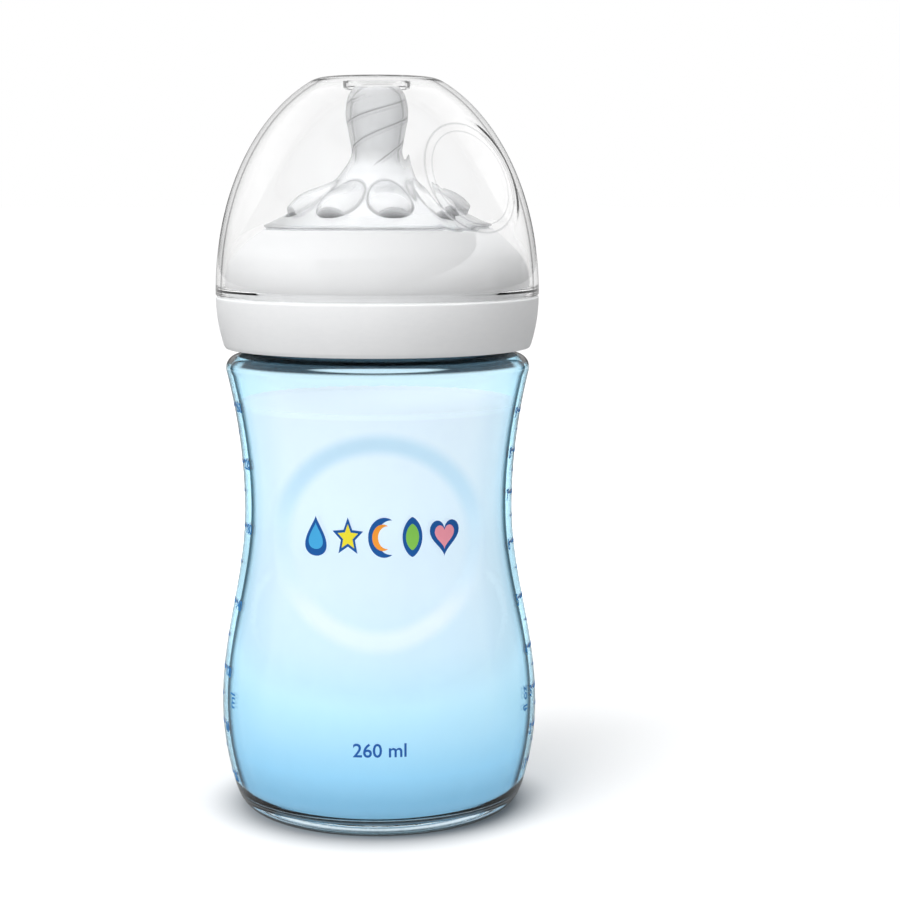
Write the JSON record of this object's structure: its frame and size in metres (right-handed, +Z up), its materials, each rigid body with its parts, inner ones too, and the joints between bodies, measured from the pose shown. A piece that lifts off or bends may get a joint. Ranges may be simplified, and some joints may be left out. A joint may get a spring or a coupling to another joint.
{
  "type": "baby bottle",
  "caption": "Wide-neck feeding bottle with a waisted clear body, soft teat, screw ring and clear dome cap; the ring unscrews and the cap lifts off.",
  "frame": {"origin": "centre of the base, on the plane it stands on", "axes": "+Z up along the bottle's axis, -Y towards the front with the round panel, +X to its right as seen from the front"},
  "size_m": [0.0722, 0.0722, 0.1642],
  "materials": {
    "bottle": "clear blue-tinted, glossy",
    "screw_ring": "opaque white, satin gloss",
    "teat": "clear silicone, slightly frosted",
    "dome_cap": "clear, glossy"
  },
  "bodies": {
    "bottle": {"bottle": "bottle"},
    "teat": {"teat": "teat"},
    "ring": {"screw_ring": "screw_ring"},
    "cap": {"dome_cap": "dome_cap"}
  },
  "joints": [
    {"name": "teat_lift", "type": "slide", "parent": "bottle", "child": "teat", "axis": [0, 0, 1], "range_m": [0, 0.006]},
    {"name": "ring_turn", "type": "hinge", "parent": "teat", "child": "ring", "pos_m": [0, 0, 0.11], "axis": [0, 0, 1], "range_deg": [0, 540]},
    {"name": "cap_lift", "type": "slide", "parent": "ring", "child": "cap", "axis": [0, 0, 1], "range_m": [0, 0.06]}
  ],
  "couplings": [
    {"joint": "teat_lift", "follows": "ring_turn", "m_per_rad": 0.00063662}
  ]
}
